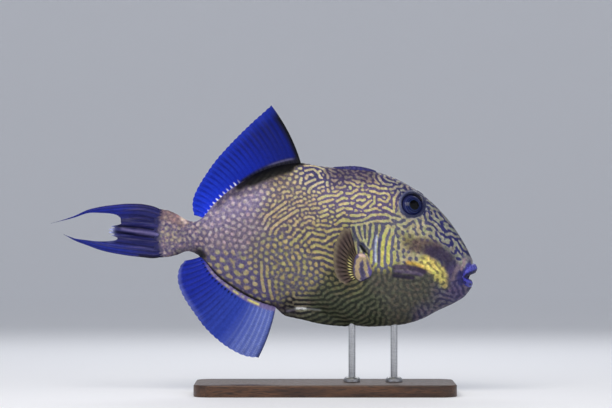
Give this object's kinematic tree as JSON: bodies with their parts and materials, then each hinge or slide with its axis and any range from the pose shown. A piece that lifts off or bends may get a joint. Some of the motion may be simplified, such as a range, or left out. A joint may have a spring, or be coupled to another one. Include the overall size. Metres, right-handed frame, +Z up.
{
  "type": "blueline triggerfish display model",
  "caption": "Life-size still model of a swimming blueline triggerfish, held over a flat base by two short rods.",
  "frame": {"origin": "under the middle of the stand, halfway between the snout and the longest tail streamer, on the fish's plane of symmetry", "axes": "+X towards the snout, +Y towards the fish's left side, +Z up"},
  "size_m": [0.4267, 0.12, 0.2888],
  "materials": {
    "skin": "satin scaled skin, yellow mesh on violet brown",
    "belly_flap": "satin dark olive skin",
    "spine_purple": "rough dark purple brown",
    "fin_blue": "thin satin blue membrane",
    "tail_slate": "thin satin slate violet membrane",
    "pectoral_brown": "thin satin brown membrane",
    "eye": "clear gloss",
    "stand_wood": "satin dark wood",
    "stand_steel": "brushed"
  },
  "bodies": {
    "root": {"head": "skin", "trunk": "skin", "caudal_peduncle": "skin", "pelvic_flap": "belly_flap", "first_dorsal_fin": "spine_purple", "second_dorsal_fin": "fin_blue", "anal_fin": "fin_blue", "caudal_fin": "tail_slate", "pectoral_fin_right": "pectoral_brown", "pectoral_fin_left": "pectoral_brown", "eye_right": "eye", "eye_left": "eye", "stand_base": "stand_wood", "stand_rod_rear": "stand_steel", "stand_rod_front": "stand_steel"}
  },
  "joints": []
}
